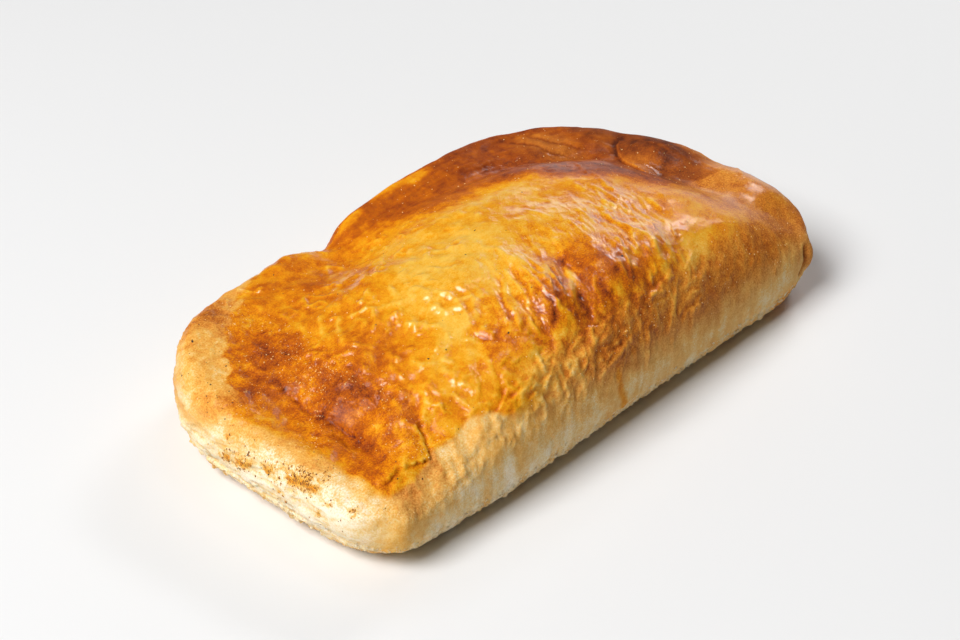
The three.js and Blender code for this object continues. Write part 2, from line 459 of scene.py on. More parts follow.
# %% Raise the near edge and the far flap
CORNER_X = -63.7
CORNER_Y = -27
CORNER_RADIUS = 14.5
EDGE_ANGLE = 114
FLAP = np.array((69.5, -40.0, 12.5))
FLAP_CREASE = [(68.4, 17), (67.3, 12.5), (65.4, 8)]

round_corner = np.degrees(np.arctan2(y - CORNER_Y, x - CORNER_X))
off_edge = np.abs(round_corner + EDGE_ANGLE + 0.4 * np.clip(16 - z, 0, 16)) * CORNER_RADIUS * math.pi / 180
at_corner = ramp(np.hypot(x - CORNER_X, y - CORNER_Y), 8, 12)
at_corner = at_corner * fall(x, -62, -58) * fall(y, -28, -24) * ramp(z, 2, 8)
relief += at_corner * 1.1 * bell(off_edge, 3.4)

flap = np.exp(-np.linalg.norm((dough - FLAP) / [2.6, 3.4, 3.8], axis=1) ** 2)
relief += 1.9 * flap
distance, side, way = distance_to_line(FLAP_CREASE, x, z)
flap_crease = bell(distance, 0.8) * fall(y, -36, -30) * ramp(way, 0, 0.2) * fall(way, 0.8, 1)
relief -= 0.9 * flap_crease
print("points on the near edge:", int((at_corner > 0.5).sum()), "and on the flap:", int((flap > 0.5).sum()))

# %% [markdown]
# ## Lines given point by point
#
# A few creases are plain to see: the folds at the waist, the edge of the tongue of wash on the fold, the long
# crease in the dark patch and the one round the knob of the rim. Each is a line through a few points, pressed
# in along its middle, with the skin lifted on its left.

# %% Press in the lines
TONGUE_EDGE = [(-41.5, -36.2), (-37.6, -36.6), (-35.1, -35.7), (-33.9, -33.4), (-32.4, -30.2), (-30.5, -26.0)]
PATCH_CREASE = [(-61.8, 6.4), (-61.3, 1.9), (-61.9, -3.3), (-61.6, -8.7), (-60.4, -12.8), (-60.6, -17.1),
                (-61.8, -22.0)]
# Each line has the width and depth of its crease, the lift of the skin and how far that lift reaches.
LINES = [
    ([(-5.2, -3.6), (-9.0, -12.9), (-11.7, -22.9), (-12.3, -29.5)], 0.6, 0.15, 0.25, 4),
    ([(3.3, -15.4), (0.9, -23.1), (-1.3, -31.1)], 0.7, 0.2, 0.3, 3),
    ([(-1.9, -22.6), (-3.4, -30.0), (-4.8, -36.4), (-3.6, -39.3)], 0.7, 0.2, 0.3, 3),
    (TONGUE_EDGE, 0.5, 0.1, 0.25, 2),
    ([(-13.8, -15.1), (-18.1, -20.7), (-21.1, -26.5), (-22.2, -30.6)], 0.6, 0.1, 0.7, 5),
    ([(-30.0, -21.4), (-28.9, -24.8), (-27.0, -27.5)], 0.7, 0.4, 0.6, 3),
    ([(-33.4, 17.8), (-36.2, 9.7), (-36.8, 3.2), (-33.3, -1.3), (-26.4, -5.5)], 0.8, -0.35, 0.0, 3),
    (PATCH_CREASE, 1.1, 0.5, 0.5, 5),
    ([(63.1, 14.7), (59.0, 12.2), (55.3, 6.0), (54.7, 0.0), (57.5, -4.0)], 1.4, 0.4, 0.8, 5),
    ([(40.0, 34.0), (43.5, 29.0), (44.5, 23.8), (48.2, 18.5)], 0.7, 0.3, 0.45, 2.5),
    ([(45.5, 31.0), (47.5, 26.0), (50.0, 21.5), (52.5, 17.0)], 0.6, 0.25, 0.45, 2.5),
]
wavy_x = x + 1.2 * lumps(5, seed=52)
wavy_y = y + 1.2 * lumps(5, seed=53)
for line, width, depth, lift, reach in LINES:
    distance, side, way = distance_to_line(line, wavy_x, wavy_y)
    inside = ramp(way, 0, 0.2) * fall(way, 0.8, 1)
    lip = np.where(side > 0, np.exp(-distance / reach), 0)
    relief += top * (lift * lip * inside - depth * bell(distance, width) * (0.4 + 0.6 * inside))
print("lines:", len(LINES))

# %% [markdown]
# ## The torn flake, and all the relief
#
# Near the fold a large flake of crust has torn loose and stands a little above the dough beside it. Its
# edge is ragged, so the line is measured from shaken points. With that the relief is complete, and each
# point moves along its own normal, except for the points that sit on the tray.

# %% Lift the flake and move the points
TORN_EDGE = [(-52.1, -25.8), (-53.1, -28.6), (-54.2, -31.2), (-55.8, -34.2), (-59.7, -33.6), (-62.8, -32.2),
             (-66.0, -32.4), (-68.3, -33.2)]

distance, side, way = distance_to_line(TORN_EDGE, x + 0.9 * pimples, y + 0.9 * grain)
off_flake = distance * side
flake_edge = fall(off_flake, -0.3, 0.1) * np.exp(-distance / 5) * ramp(way, 0, 0.15) * fall(way, 0.9, 1)
relief += top * (0.7 * flake_edge - 0.15 * bell(off_flake - 0.4, 0.4) * ramp(way, 0, 0.1))

# The fold between the two deepest creases is pressed down, so that it doesn't stand up as a lump.
relief -= np.exp(-((x + 9) / 5) ** 2 - ((y + 23) / 7) ** 2)

shaped = dough + facing * (relief * off_tray)[:, None]
shaped[z < BASE_HEIGHT, 2] = 0
write_points(crust, shaped)
print("relief in millimetres:", round(relief.min(), 2), "to", round(relief.max(), 2))

# %% [markdown]
# ## Hollows and ridges
#
# A crease is painted darker and a ridge lighter: partly for the wash that gathers in a crease, and partly
# as painted shade in the crease and a painted highlight on the ridge. The relief less its own blurred copy
# is positive on a ridge and negative in a crease, so it can be painted with. The blur takes each point's
# mean over its neighbours a few times.

# %% Find the hollows and ridges
BLURS = 12
RIDGE_LIMIT = 0.35

edges = np.empty(2 * len(crust.data.edges), np.int32)
crust.data.edges.foreach_get("vertices", edges)
ends = np.concatenate([edges.reshape(-1, 2), edges.reshape(-1, 2)[:, ::-1]])
neighbours = np.bincount(ends[:, 0], minlength=len(x))
blurred = relief.copy()
for _ in range(BLURS):
    blurred = np.bincount(ends[:, 0], weights=blurred[ends[:, 1]], minlength=len(x)) / neighbours
ridge = np.clip(relief - blurred, -RIDGE_LIMIT, RIDGE_LIMIT)
print("ridges up to", round(ridge.max(), 2), "mm")

# %% [markdown]
# ## Where the egg wash ends
#
# The brush went over the top and part of the way down the fold. Along the fold the wash stops sharply near
# the torn corner, and fades gradually further on. On the near border it stops short of the sealed edge, and
# leaves a pale strip. The edges are lines too, made ragged by the same lumps as the skin.

# %% Draw the edges of the wash
# Place along the pastry, and how far down the fold the wash reaches there.
WASH_EDGE = [(-80, 55), (-60, 54), (-55, 50.4), (-49.2, 50.4), (-46, 49), (-43, 47.8), (-40.9, 48.6),
             (-37.6, 52), (-34, 55.5), (-30, 57), (-10, 58.5), (0, 61), (45, 62), (60, 61), (80, 57)]
OUTER_EDGE = [(-40, 40), (-48.8, 34.2), (-54.8, 30.1), (-60.5, 25.8), (-64.9, 20.1), (-69.1, 13.1),
              (-70.7, 7.9), (-69.1, 1.7), (-70, -8.9), (-70.5, -20), (-70.5, -40)]

edge = np.interp(x, *zip(*WASH_EDGE)) + 1.3 * blisters + 0.7 * pimples
softness = np.interp(x, [-38, -34, -28, 10], [2.2, 7, 12, 13])
washed = ramp((edge - down_fold) / softness, -0.5, 0.5)

distance, side, way = distance_to_line(OUTER_EDGE, x, y)
outside = ramp(-distance * side + 2.2 * blisters + 1.1 * pimples + 0.5 * grain, 0, 0.9)
outside *= fall(x, -44, -34) * ramp(y, 5, 13)

distance, side, way = distance_to_line(TONGUE_EDGE, x + 0.5 * pimples, y + 0.5 * grain)
beside_tongue = fall(distance * side, -0.4, 0.2) * np.exp(-distance / 9) * ramp(way, 0, 0.3)
print("share of points under wash:", round(washed.mean(), 2))

# %% [markdown]
# ## How brown it baked
#
# Browning follows heat and egg wash: the raised rim bakes darkest, the near border has a dark patch with a
# ragged edge, the hump stays golden, and the fold and the sealed end, which no brush reached, stay pale.
# It is painted as one number per point, like strokes laid over each other, from 0 for cream to 1 for dark
# brown, and the material turns it into colour. A ragged blot is the brush for most of it.

# %% Paint the hump and the front
# Tone, middle, half length, half width, turn and softness of each blot.
HUMP_BLOTS = [
    (0.31, -6, -2, 31, 15, 0, 0.5), (0.13, -17, -5, 17, 11, -10, 0.5), (0.31, -38, -24, 14, 7, 25, 0.5),
    (0.52, -44, -7, 10, 7, 80, 0.5), (0.48, -40, 20, 8, 6, 0, 0.6), (0.4, 38, -19, 14, 9, 15, 0.6),
    (0.54, 64, -14, 14, 26, 0, 0.5), (0.2, -15, 11, 9, 5, -75, 0.6), (0.24, 5.5, 12, 9, 6, 0, 0.6),
    (0.08, -32, -16.5, 4.5, 3, 30, 0.6),
]


def blot(px, py, along, across, turn, softness):
    """An uneven blot in plan: 1 inside, 0 outside, with a ragged edge."""
    forward, sideways = turned(x - px, y - py, turn)
    forward = forward + 2.5 * patches + 1.5 * blisters
    sideways = sideways - 2.5 * wander + 1.5 * blisters
    return fall(np.hypot(forward / along, sideways / across), 1 - softness, 1 + softness) * top


mottle = lumps(2.8, seed=61) + 0.6 * lumps(1.3, seed=62)
browning = 0.4 + 0.05 * soft_lumps + 0.08 * patches
for tone, *outline in HUMP_BLOTS:
    browning = mix(browning, tone + 0.07 * patches, blot(*outline))
# The valleys of the folds are painted darker: partly the wash that gathers there, and partly painted shade in
# the creases.
wash_and_shade_in_folds = 0.5 * (MEAN_FOLD - wide_folds) + 0.4 * (MEAN_FOLD - middle_folds)
browning = mix(browning, 0.5 + wash_and_shade_in_folds, creasing * ramp(down_fold, 22, 32) * ramp(x, -30, -16))
browning = mix(browning, 0.63 + wash_and_shade_in_folds, blot(-3, -33, 16, 8, 8, 0.6))
streaks = folds(2.4, 24, seed=18)
fine_streaks = folds(1.0, 9, seed=19)
low_front = ramp(down_fold, 40, 50) * ramp(x, -24, -8)
browning = mix(browning, 0.57 + 0.09 * streaks + 0.07 * fine_streaks, low_front)
browning = mix(browning, 0.5 + 0.1 * streaks, beside_tongue)
browning = mix(browning, 0.6 + wash_and_shade_in_folds, blot(2, -23, 7, 5, -30, 0.6))

# Two places low on the front stayed lighter than the brown between them.
lower_band = ramp(down_fold, 36, 42) * fall(down_fold, 53, 60)
lighter = 0.13 * ramp(x, -38, -31) * fall(x, -16, -8) + 0.08 * ramp(x, 8, 16) * fall(x, 34, 42)
browning -= lower_band * lighter
print("mean tone so far:", round(browning.mean(), 2))

# %% [markdown]
# ## The brown rim
#
# The rim is thin and stands up in the heat, so it bakes brown. Its brown ends along a line round the foot of
# the hump, and deepens towards the knob at the far end.

# %% Paint the rim
GOLD_EDGE = [(-30, 33), (-22.8, 31.5), (-14.7, 30.3), (-2.2, 26.5), (1.4, 23), (10.7, 18.9), (20.9, 17.6),
             (26.4, 11.7), (30.4, 6.2), (36.9, 0.1), (41.0, -3.8), (44.9, -6.6), (49.3, -10.0), (60, -12)]
# Three light places on its outer edge; the far shoulder, painted lighter in part as a painted sheen; and the
# knob with a light spot that is a painted highlight and a dark spot that is painted shade in its crease.
RIM_BLOTS = [
    (0.36, 11, 38, 4.5, 1.6, 0, 0.5), (0.36, 3, 38.5, 4.5, 1.6, 0, 0.5), (0.36, -9.8, 39, 4.5, 1.6, 0, 0.5),
    (0.69, 47, 25, 10, 5, -50, 0.6), (0.93, 64, 4, 10, 6, 75, 0.5), (0.66, 58.5, 3.5, 4.2, 2.6, 60, 0.7),
    (0.95, 61.5, 14.5, 4, 2.4, 40, 0.6),
]

from_gold, side, way = distance_to_line(GOLD_EDGE, x, y)
rim_brown = ramp(from_gold * side + 1.6 * patches + 0.6 * blisters, -4.5, 3)
rim_brown = rim_brown * ramp(x, -26, -14) * fall(x, 62, 72) * top
rim_tone = np.interp(x, [-18, -8, 4, 16, 28], [0.6, 0.7, 0.64, 0.7, 0.8]) - 0.2 * fall(from_seal, 0.5, 3)
rim_tone += 0.1 * rim_folds + 0.07 * patches
browning = mix(browning, rim_tone, rim_brown)
for tone, *outline in RIM_BLOTS:
    browning = mix(browning, tone, blot(*outline))
print("darkest tone on the rim:", round(browning.max(), 2))

# %% [markdown]
# ## The near border
#
# A dark patch with a ragged edge covers the near border, with a lobe beside the pinch in the rim and pale
# strips round both. The patch goes on first, then its darkest spots, then the strips, and last a few touches
# here and there. Mottling then breaks up every tone on the washed crust, the ridges and strokes are painted
# lighter as a painted highlight, and the creases darker as painted shade.

# %% Paint the near border
PATCH_BLOTS = [
    (0.76, -62, -14, 10, 4, 80, 0.5), (0.71, -54.5, -13, 6, 4, 60, 0.5), (0.67, -64, 15, 7, 4, 60, 0.5),
    (0.68, -62, 2, 5, 4, 0, 0.5), (0.56, -36, 30, 16, 9, 8, 0.4), (0.7, -65.5, -27, 6, 4.5, 80, 0.4),
    (0.51, -58, -26, 7, 5, 70, 0.4),
]
# Change of tone, middle, half length, half width and turn of each touch.
TOUCHES = [
    (0.05, -49, -27, 6, 5, 30), (0.07, -28, -25, 9, 4, -20), (0.08, -14, -30, 4, 4, 0),
    (0.1, 1.8, -16, 5, 4, 0), (-0.1, 2.5, -28, 5, 4, 0), (0.1, -49, -9.5, 5, 5, 0),
    (-0.08, -55, 4, 7, 5, 70), (-0.06, 31, -34, 6, 5, 0), (-0.1, -15, -37, 6, 4, 0),
]
TOUCH_SOFTNESS = 0.7

spotty = 0.1 * patches + 0.1 * blisters
browning = mix(browning, 0.65 + spotty, blot(-60.5, -3, 28, 12, 92, 0.25))
for tone, *outline in PATCH_BLOTS:
    browning = mix(browning, tone + spotty, 0.8 * blot(*outline))
strip_tone = 0.23 + 0.15 * ramp(y, 27, 35) + 0.18 * fall(x, -74, -64) * fall(y, 14, 21) + 0.1 * patches
browning = mix(browning, strip_tone, outside)
browning = mix(browning, 0.58 + spotty, 0.85 * blot(-57, 34, 8, 3.2, 50, 0.5))
for change, *outline in TOUCHES:
    browning += change * blot(*outline, TOUCH_SOFTNESS)

uneven = (1 - 0.6 * ramp(x, 30, 46)) * (1 - 0.5 * ramp(down_fold, 36, 46)) * (1 - 0.5 * rim_brown)
browning += uneven * (0.07 * patches + 0.08 * blisters + 0.13 * mottle)
# Ridges and strokes are painted lighter, as a painted highlight; creases darker, partly for gathered wash and
# partly as painted shade.
browning -= (0.5 * ridge + 0.08 * stroke_highlight) * (1 - near_face)
browning = np.maximum(browning, 0.1)
print("washed crust from", round(browning.min(), 2), "to", round(browning.max(), 2))

# %% [markdown]
# ## The bare fold and the sealed wall
#
# Below the wash the fold is bare dough: tan where the heat reached it, and paler towards the tray. It is
# streaked along the stretch marks of the fold. The sealed wall is darker between its layers.

# %% Paint the bare dough
PALEST_FOLD = 0.17

bare = np.interp(x, [-66, -58, -52, -40, -18, 0, 60], [0.46, 0.43, 0.21, 0.22, 0.25, 0.34, 0.44])
bare = bare - (bare - PALEST_FOLD) * 0.8 * ramp(down_fold, 53, 75)
bare += (0.11 * streaks + 0.07 * fine_streaks + 0.1 * (MEAN_FOLD - stretch) + 0.07 * patches + 0.06 * blisters
         + 0.06 * mottle)
# Low on the fold by the near corner the dough is painted paler, as painted light that lifts the shade there.
bare -= 0.1 * ramp(down_fold, 60, 68) * fall(x, -54, -46)
browning = mix(browning, bare, (1 - washed) * fall(y, -26, -18))
wall_tone = 0.26 + 0.14 * out_x - 0.08 * layers + 0.06 * mottle
browning = mix(browning, wall_tone, sealed_wall * ramp(x, -70, -60))
print("bare fold from", round(bare.min(), 2), "to", round(bare.max(), 2))

# %% [markdown]
# ## The pale near end
#
# The near end is raw-looking cream. The brown of the top stops along a line over its edge, with a thin gold
# band under it, and turns gold again round the fold corner. A band of toasted crumbs crosses the cream.

# %% Paint the near end
# The brown ends along a line, given as points of y and x, and on its left at a height, given by y and z.
FACE_EDGE = [(-43, -66), (-36, -68), (-31.4, -70.3), (-22.4, -70.2), (-13.5, -71.3), (-3.8, -72.3),
             (0.2, -73.3), (7.5, -76.4), (16, -80)]
FACE_TOP = [(0, 16), (7.5, 17.5), (16, 17.9), (23.5, 15.7), (43, 12)]

below = np.maximum(np.interp(y, *zip(*FACE_EDGE)) - x, np.interp(y, *zip(*FACE_TOP)) - z)
below += 2.4 * patches + 1.6 * blisters + 0.6 * pimples
near_end = fall(x, -66, -60) * np.where(y < CORNER_Y, fall(round_corner, -130, -100), 1)
bare_end = near_end * ramp(below, -0.8, 3 + 3 * ramp(y, 6, 18))
gold_band = near_end * fall(below, 1.5, 6.5) * fall(y, 2, 12) * ramp(y, -30, -18)
# The splits between the layers are painted darker, as painted shade in the splits.
cream = 0.05 + 0.26 * gold_band - 0.06 * layers + 0.04 * mottle + 0.12 * cracks + 0.06 * ramp(y, 5, 20)
cream += 0.24 * fall(z, 3, 8) * ramp(pimples + grain, -0.4, 0.4)
edge_band = near_end * ramp(below, -4.5, -2) * fall(y, 2, 12) * ramp(y, -27, -19)
browning = mix(browning, 0.5 + spotty, edge_band)
browning = mix(browning, 0.35 + spotty, near_end * ramp(below, -2 + 1.4 * fall(y, -26, -20), 0))
browning = mix(browning, cream, bare_end)
corner_gold = at_corner * bell(round_corner + 124, 24) * ramp(below, -1, 1)
browning = mix(browning, 0.3 + 0.08 * pimples, 0.6 * corner_gold)
print("points on the bare end:", int((bare_end > 0.5).sum()))

# %% Toast the crumbs, the drip and the far corner
# Lines and spots here are points of y and z on the near end, and of x and z for the drip on the fold.
CRUMB_BAND = [(6.5, 11.9), (1.5, 13.0), (-3.3, 14.0), (-8.6, 15.2), (-14.2, 16.6), (-20.8, 17.4)]
CRUMB_SPOTS = [(5.3, 16.7), (-19.6, 16.1), (-23.5, 12.2), (-25.7, 15.2), (-31.4, 15.8), (-11.9, 11.5)]
DRIP = [(-4.4, 20.5), (-3.6, 14.7), (-1.1, 7.2)]

from_band, side, way = distance_to_line(CRUMB_BAND, y, z)
toasted = bell(from_band, 1.6) * ramp(grain + pimples + blisters, -0.5, 0.4) * fall(x, -72, -66)
for py, pz in CRUMB_SPOTS:
    toasted += bell(np.hypot(y - py, z - pz), 0.9) * ramp(grain, -0.2, 0.3) * fall(x, -72, -66)
toasted = np.clip(toasted, 0, 1)
browning = mix(browning, 0.46 + 0.2 * grain, 0.65 * toasted)

distance, side, way = distance_to_line(DRIP, x + 0.6 * pimples, z)
dripped = np.exp(-(distance / 1.1) ** 4) * fall(y, -36, -30)
browning = mix(browning, 0.48, 0.8 * dripped)
browning = mix(browning, 0.52, 0.9 * ramp(flap, 0.2, 0.5))
# The crease beside the far flap is painted dark, as painted shade in the crease.
browning = mix(browning, 0.8, 0.8 * flap_crease)
caught = ramp(x, 54, 62) * fall(z, 4, 9) * fall(y, -28, -18)
browning = mix(browning, 0.55 + 0.1 * blisters, 0.85 * caught)
browning = np.clip(browning, 0, 1)
print("browning from", round(browning.min(), 2), "to", round(browning.max(), 2))

# %% [markdown]
# ## How the wash shines
#
# Egg wash dries like varnish: thick on the hump, thin on the rim and the patch, and gone on the fold. Two
# numbers say for each point how golden the wash makes the dough and how strongly it shines. A few more say
# how strong the wrinkles, grit and speckle are that are too small for the points.

# %% Lay on the shine
# Share of the shine lost, and the place as for a touch.
DULL_PLACES = [(0.6, -57.5, -11.5, 6, 5, 0), (0.45, -3, -22, 11, 4, 50), (0.4, -49, -27, 6, 5, 30),
               (0.3, -28, -25, 9, 4, -20), (0.4, 38, -21, 5, 4, 0)]

wash = washed * (1 - sealed_wall * (0.4 + 0.6 * ramp(x, -70, -60))) * (1 - bare_end) * (1 - 0.45 * outside)
rim_gloss = blot(45, 25, 9, 5, -50, 0.6)
shine = wash * (1 - 0.7 * patch_zone) * (1 - rim * (0.95 - 0.4 * rim_gloss))
shine *= 1 - 0.9 * ramp(down_fold, 34, 50)
shine *= (1 - 0.6 * ramp(x, 32, 44) + 0.2 * ramp(x, 54, 62)) * (1 - 0.75 * bell(from_gold, 6))
for loss, *outline in DULL_PLACES:
    shine *= 1 - loss * blot(*outline, TOUCH_SOFTNESS)
shine += 0.3 * wash * blot(-57.5, -23, 6, 4, 20, 0.5)
shine *= 1 - 0.45 * ramp(y, 0, 14) * ramp(x, -26, -14)

thin_wash = fall(y, -30, -22) * (0.4 - 0.4 * ramp(down_fold, 56, 74)) * (1 - bare_end)
dull_front = ramp(down_fold, 38, 50) * ramp(x, -34, -22)
# On the far lobe and the far shoulder the colour turns towards the duller bare tones, as a painted sheen.
far_painted_sheen = np.maximum(ramp(x, 50, 60) * fall(down_fold, 36, 46), 1.3 * blot(46, 24, 9, 5, -50, 0.6))
brushed = wash * (1 - 0.35 * dull_front - 0.35 * far_painted_sheen)
elsewhere = [0.5 * corner_gold, 0.8 * toasted, 0.6 * caught, 0.5 * gold_band, 0.8 * dripped]
golden = np.max([brushed, thin_wash, *elsewhere], axis=0)
print("mean shine:", round(shine.mean(), 2), "and mean gold:", round(golden.mean(), 2))

# %% Store the painted numbers on the crust
crepe = creasing * (0.25 + 0.75 * ramp(lumps(14, seed=17), -0.1, 0.4)) + 0.05 * skin
crepe = np.maximum(0.4 * crepe, 0.5 * streak_band) * (1 - 0.8 * ramp(down_fold, 32, 46))
PAINTED = {
    "browning": browning,
    "golden": golden,
    "shine": shine,
    "crepe": crepe,
    "grainy": patch_zone * wash * ramp(browning, 0.4, 0.6),
    "crumple": 0.45 - 0.36 * ramp(x, 30, 46),
    "speckle": (0.34 + 0.3 * patch_zone + 0.26 * front) * (1 - 0.7 * rim),
}
for name, values in PAINTED.items():
    layer = crust.data.attributes.new(name, "FLOAT", "POINT")
    layer.data.foreach_set("value", values.astype(np.float32))

# The lie of the fold, drawn out threefold down the front, for wrinkles too fine for the points.
lie = np.column_stack([slant + 0.6 * blisters + 0.3 * pimples, down_fold / 3, np.zeros_like(x)]) * MM
layer = crust.data.attributes.new("lie", "FLOAT_VECTOR", "POINT")
layer.data.foreach_set("vector", lie.astype(np.float32).ravel())
print("painted:", ", ".join(PAINTED), "and lie")

# %% [markdown]
# ## The baked crust as a material
#
# Puff pastry is butter and flour: pale and matt where it is bare, with a little light passing into it.
# Egg wash is a thin varnish of protein, so it is a clear coat over the browned dough. Two colour ramps run
# from cream to dark brown, one bare and one golden, and fine noise breaks them into the freckles of real
# browning.

# %% Start the crust and its patterns


def linear(hex_colour):
    """A linear RGBA colour from an sRGB hex value."""
    channels = [int(hex_colour[i:i + 2], 16) / 255 for i in (1, 3, 5)]
    return [c / 12.92 if c <= 0.04045 else ((c + 0.055) / 1.055) ** 2.4 for c in channels] + [1.0]


def add(tree, kind, settings=None, **links):
    """A node with its settings, and links or values for its inputs by name or, as _0, by number."""
    node = tree.nodes.new(kind)
    for name, value in (settings or {}).items():
        setattr(node, name, value)
    for name, value in links.items():
        socket = node.inputs[int(name[1:])] if name[0] == "_" else node.inputs[name.replace("_", " ")]
        if isinstance(value, bpy.types.NodeSocket):
            tree.links.new(value, socket)
        else:
            socket.default_value = value
    return node


# Puff pastry, rolled, brushed with egg and baked: a matt crumb under a clear brown varnish that glints.
pastry = bpy.data.materials.new("egg_washed_puff_pastry")
pastry.use_nodes = True
tree = pastry.node_tree
tree.nodes.clear()
place = add(tree, "ShaderNodeTexCoord").outputs["Object"]
lie_of_fold = add(tree, "ShaderNodeAttribute", {"attribute_name": "lie"}).outputs["Vector"]
painted = {}
for name in PAINTED:
    painted[name] = add(tree, "ShaderNodeAttribute", {"attribute_name": name}).outputs["Fac"]

# Freckles of browning, a wrinkled skin in every direction, and wrinkles along the lie of the fold.
freckles = add(tree, "ShaderNodeTexNoise", Vector=place, Scale=1 / (2.6 * MM), Detail=7, Roughness=0.72)
crinkles = add(tree, "ShaderNodeTexNoise", {"noise_type": "RIDGED_MULTIFRACTAL"}, Vector=place,
               Scale=1 / (2.4 * MM), Detail=3, Roughness=0.55, Lacunarity=2.1, Offset=0.9, Gain=1.6)
wrinkles = add(tree, "ShaderNodeTexNoise", {"noise_type": "RIDGED_MULTIFRACTAL"}, Vector=lie_of_fold,
               Scale=1 / (1.3 * MM), Detail=3, Roughness=0.5, Lacunarity=2.2, Offset=0.9, Gain=1.4)
# Pores and bubbles of baked dough are about 0.1 mm wide. They are drawn coarser, so that they show.
fine = add(tree, "ShaderNodeTexNoise", Vector=place, Scale=1 / (0.4 * MM), Detail=2)
bubbles = add(tree, "ShaderNodeTexVoronoi", {"feature": "SMOOTH_F1"}, Vector=place, Scale=1 / (0.5 * MM),
              Smoothness=0.4)
print("patterns:", len(tree.nodes), "nodes so far")

# %% Colour the crust
WASHED_TONES = [(0.0, "#f2c252"), (0.2, "#eeae30"), (0.32, "#e99d0e"), (0.46, "#dd8200"), (0.62, "#c06000"),
                (0.78, "#a04808"), (0.9, "#813409"), (1.0, "#54200c")]
BARE_TONES = [(0.0, "#f6ead2"), (0.15, "#ecd09a"), (0.27, "#e6b66c"), (0.4, "#d9a05a"), (0.55, "#c3823c"),
              (0.75, "#95571f"), (1.0, "#5a2c10")]

spread = add(tree, "ShaderNodeMath", {"operation": "SUBTRACT"}, _0=freckles.outputs["Fac"], _1=0.5)
strength = add(tree, "ShaderNodeMapRange", Value=painted["golden"], _3=0.2, _4=0.7)
freckled = add(tree, "ShaderNodeMath", {"operation": "MULTIPLY_ADD"}, _0=spread.outputs[0],
               _1=strength.outputs[0], _2=painted["browning"])
pores = add(tree, "ShaderNodeMath", {"operation": "SUBTRACT"}, _0=fine.outputs["Fac"], _1=0.5)
tone = add(tree, "ShaderNodeMath", {"operation": "MULTIPLY_ADD", "use_clamp": True}, _0=pores.outputs[0],
           _1=painted["speckle"], _2=freckled.outputs[0])
skins = []
for tones in (BARE_TONES, WASHED_TONES):
    colouring = add(tree, "ShaderNodeValToRGB", Fac=tone.outputs[0])
    stops = colouring.color_ramp.elements
    while len(stops) < len(tones):
        stops.new(0.5)
    for stop, (position, colour) in zip(stops, tones):
        stop.position = position
        stop.color = linear(colour)
    skins.append(colouring.outputs["Color"])
colours = add(tree, "ShaderNodeMix", {"data_type": "RGBA"}, _0=painted["golden"], _6=skins[0], _7=skins[1])
print("tones:", len(BARE_TONES), "bare and", len(WASHED_TONES), "washed")

# %% Roughen, coat and hand over the crust
rough = add(tree, "ShaderNodeMapRange", Value=painted["shine"], _3=0.75, _4=0.55)
grit = add(tree, "ShaderNodeBump", Strength=0.4, Distance=0.12 * MM, Height=fine.outputs["Fac"])
blistered = add(tree, "ShaderNodeBump", {"invert": True}, Strength=painted["grainy"], Distance=0.06 * MM,
                Height=bubbles.outputs["Distance"], Normal=grit.outputs["Normal"])
crumpled = add(tree, "ShaderNodeBump", Strength=painted["crumple"], Distance=0.1 * MM,
               Height=crinkles.outputs["Fac"], Normal=blistered.outputs["Normal"])
creped = add(tree, "ShaderNodeBump", Strength=painted["crepe"], Distance=0.18 * MM,
             Height=wrinkles.outputs["Fac"], Normal=crumpled.outputs["Normal"])
shader = add(tree, "ShaderNodeBsdfPrincipled", Base_Color=colours.outputs[2], Roughness=rough.outputs[0],
             IOR=1.4, Specular_IOR_Level=0.2, Coat_Weight=painted["shine"], Coat_Roughness=0.1, Coat_IOR=1.5,
             Subsurface_Weight=0.1, Subsurface_Scale=1.0 * MM, Normal=creped.outputs["Normal"],
             Coat_Normal=creped.outputs["Normal"])
add(tree, "ShaderNodeOutputMaterial", Surface=shader.outputs[0])
crust.data.materials.append(pastry)

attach(crust, "root")
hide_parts("pastry")
print("crust material:", len(tree.nodes), "nodes")

# %% [markdown]
# ## Small things on the crust
#
# Up close the crust is littered with small things: dried beads of egg wash that sparkle, specks of pepper,
# toasted crumbs on the near end and pale ones along the base. A particle system could spread them, but one
# small shape of twenty faces, copied onto chosen points and joined into one mesh, is real mesh everywhere.

# %% One small grain, copied many times
LOWEST = 0.02

skin_at = read_points(crust)
skin_out = read_normals(crust)


def grain_shape(name, flatness, roughness):
    """A lumpy grain one millimetre in radius, about the origin."""
    bpy.ops.object.select_all(action="DESELECT")
    bpy.ops.mesh.primitive_ico_sphere_add(subdivisions=1, radius=MM)
    grain_object = bpy.context.active_object
    grain_object.name = name
    corners = read_points(grain_object)
    corners *= 1 + roughness * rng.uniform(-1, 1, (len(corners), 1))
    write_points(grain_object, corners * [1, 1, flatness])
    bpy.ops.object.shade_smooth()
    return grain_object


def scatter(shape, chance, count, sizes, sink):
    """Spread copies of a shape over the crust, where the chance is high, and join them in its mesh."""
    corners = read_points(shape)
    faces = np.array([face.vertices[:] for face in shape.data.polygons])
    spots = pick(chance, count)
    out = skin_out[spots]
    across = np.cross(out, rng.normal(size=(count, 3)))
    across /= np.linalg.norm(across, axis=1, keepdims=True)
    axes = np.stack([across, np.cross(out, across), out], axis=1)
    radius = sizes[0] + (sizes[1] - sizes[0]) * rng.random(count) ** 4
    scale = radius[:, None] * rng.uniform(0.75, 1.25, (count, 3))
    points = np.einsum("nki,nij->nkj", corners[None] * scale[:, None], axes)
    points += (skin_at[spots] - out * scale[:, 2:] * sink)[:, None]
    points[..., 2] = np.maximum(points[..., 2], LOWEST)
    mesh = bpy.data.meshes.new(shape.name)
    all_faces = faces[None] + len(corners) * np.arange(count)[:, None, None]
    mesh.from_pydata((points.reshape(-1, 3) * MM).tolist(), [], all_faces.reshape(-1, 3).tolist())
    shape.data = mesh
    use_only(shape)
    bpy.ops.object.shade_smooth()
    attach(shape, "root")
    print(shape.name, count, "copies")


print("points to scatter on:", len(skin_at))

# %% A finish for small things


